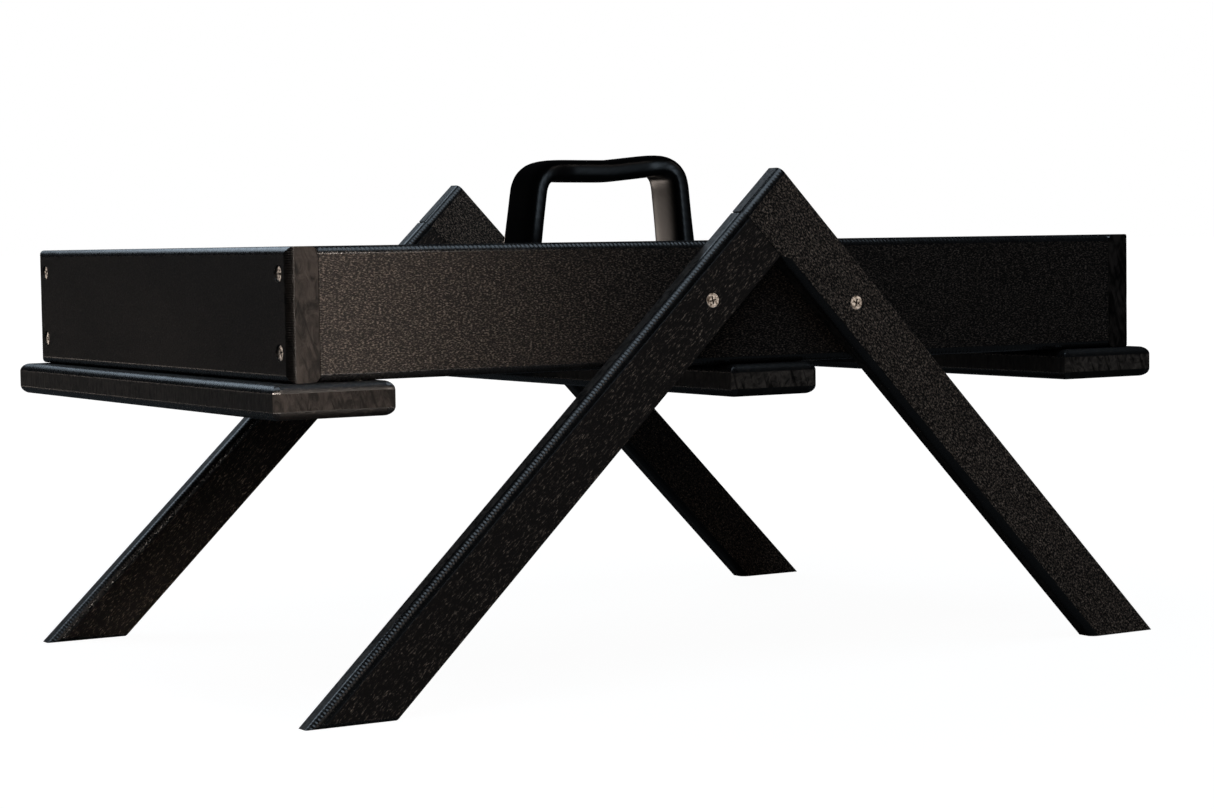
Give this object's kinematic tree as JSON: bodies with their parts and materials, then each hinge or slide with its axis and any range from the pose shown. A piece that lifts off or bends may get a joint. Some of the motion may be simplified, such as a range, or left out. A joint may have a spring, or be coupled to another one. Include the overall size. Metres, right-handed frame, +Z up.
{
  "type": "carry tray on A-frame legs",
  "caption": "Open plastic-board tray with a moulded carry handle, held clear of the ground by a fixed A-frame of flat legs at the front and at the rear.",
  "frame": {"origin": "on the ground under the middle of the box, at the middle of the bounding box's bottom", "axes": "+X along the box to its right end, +Y from its front to its rear, +Z up"},
  "size_m": [0.653, 0.4214, 0.3283],
  "materials": {
    "hdpe_board": "fine pebbled sheet surface, routed edges with chatter marks",
    "handle_plastic": "satin moulded plastic",
    "stainless_screw": "bright stainless, slightly worn cross recess"
  },
  "bodies": {
    "root": {"apex_screw_front": "stainless_screw", "apex_screw_rear": "stainless_screw", "carry_handle": "handle_plastic", "end_board_left": "hdpe_board", "end_board_right": "hdpe_board", "end_screw_left_1": "stainless_screw", "end_screw_left_2": "stainless_screw", "end_screw_left_3": "stainless_screw", "end_screw_left_4": "stainless_screw", "end_screw_right_1": "stainless_screw", "end_screw_right_2": "stainless_screw", "end_screw_right_3": "stainless_screw", "end_screw_right_4": "stainless_screw", "floor_panel": "hdpe_board", "floor_screw_1": "stainless_screw", "floor_screw_2": "stainless_screw", "floor_screw_3": "stainless_screw", "floor_screw_4": "stainless_screw", "floor_screw_5": "stainless_screw", "floor_screw_6": "stainless_screw", "handle_screw_1": "stainless_screw", "handle_screw_2": "stainless_screw", "leg_front_left": "hdpe_board", "leg_front_right": "hdpe_board", "leg_rear_left": "hdpe_board", "leg_rear_right": "hdpe_board", "leg_screw_front_1": "stainless_screw", "leg_screw_front_2": "stainless_screw", "leg_screw_rear_1": "stainless_screw", "leg_screw_rear_2": "stainless_screw", "side_board_front": "hdpe_board", "side_board_rear": "hdpe_board", "slat_left": "hdpe_board", "slat_middle": "hdpe_board", "slat_right": "hdpe_board", "slat_screw_left_1": "stainless_screw", "slat_screw_left_2": "stainless_screw", "slat_screw_left_3": "stainless_screw", "slat_screw_left_4": "stainless_screw", "slat_screw_middle_1": "stainless_screw", "slat_screw_middle_2": "stainless_screw", "slat_screw_middle_3": "stainless_screw", "slat_screw_middle_4": "stainless_screw", "slat_screw_right_1": "stainless_screw", "slat_screw_right_2": "stainless_screw", "slat_screw_right_3": "stainless_screw", "slat_screw_right_4": "stainless_screw"}
  },
  "joints": []
}
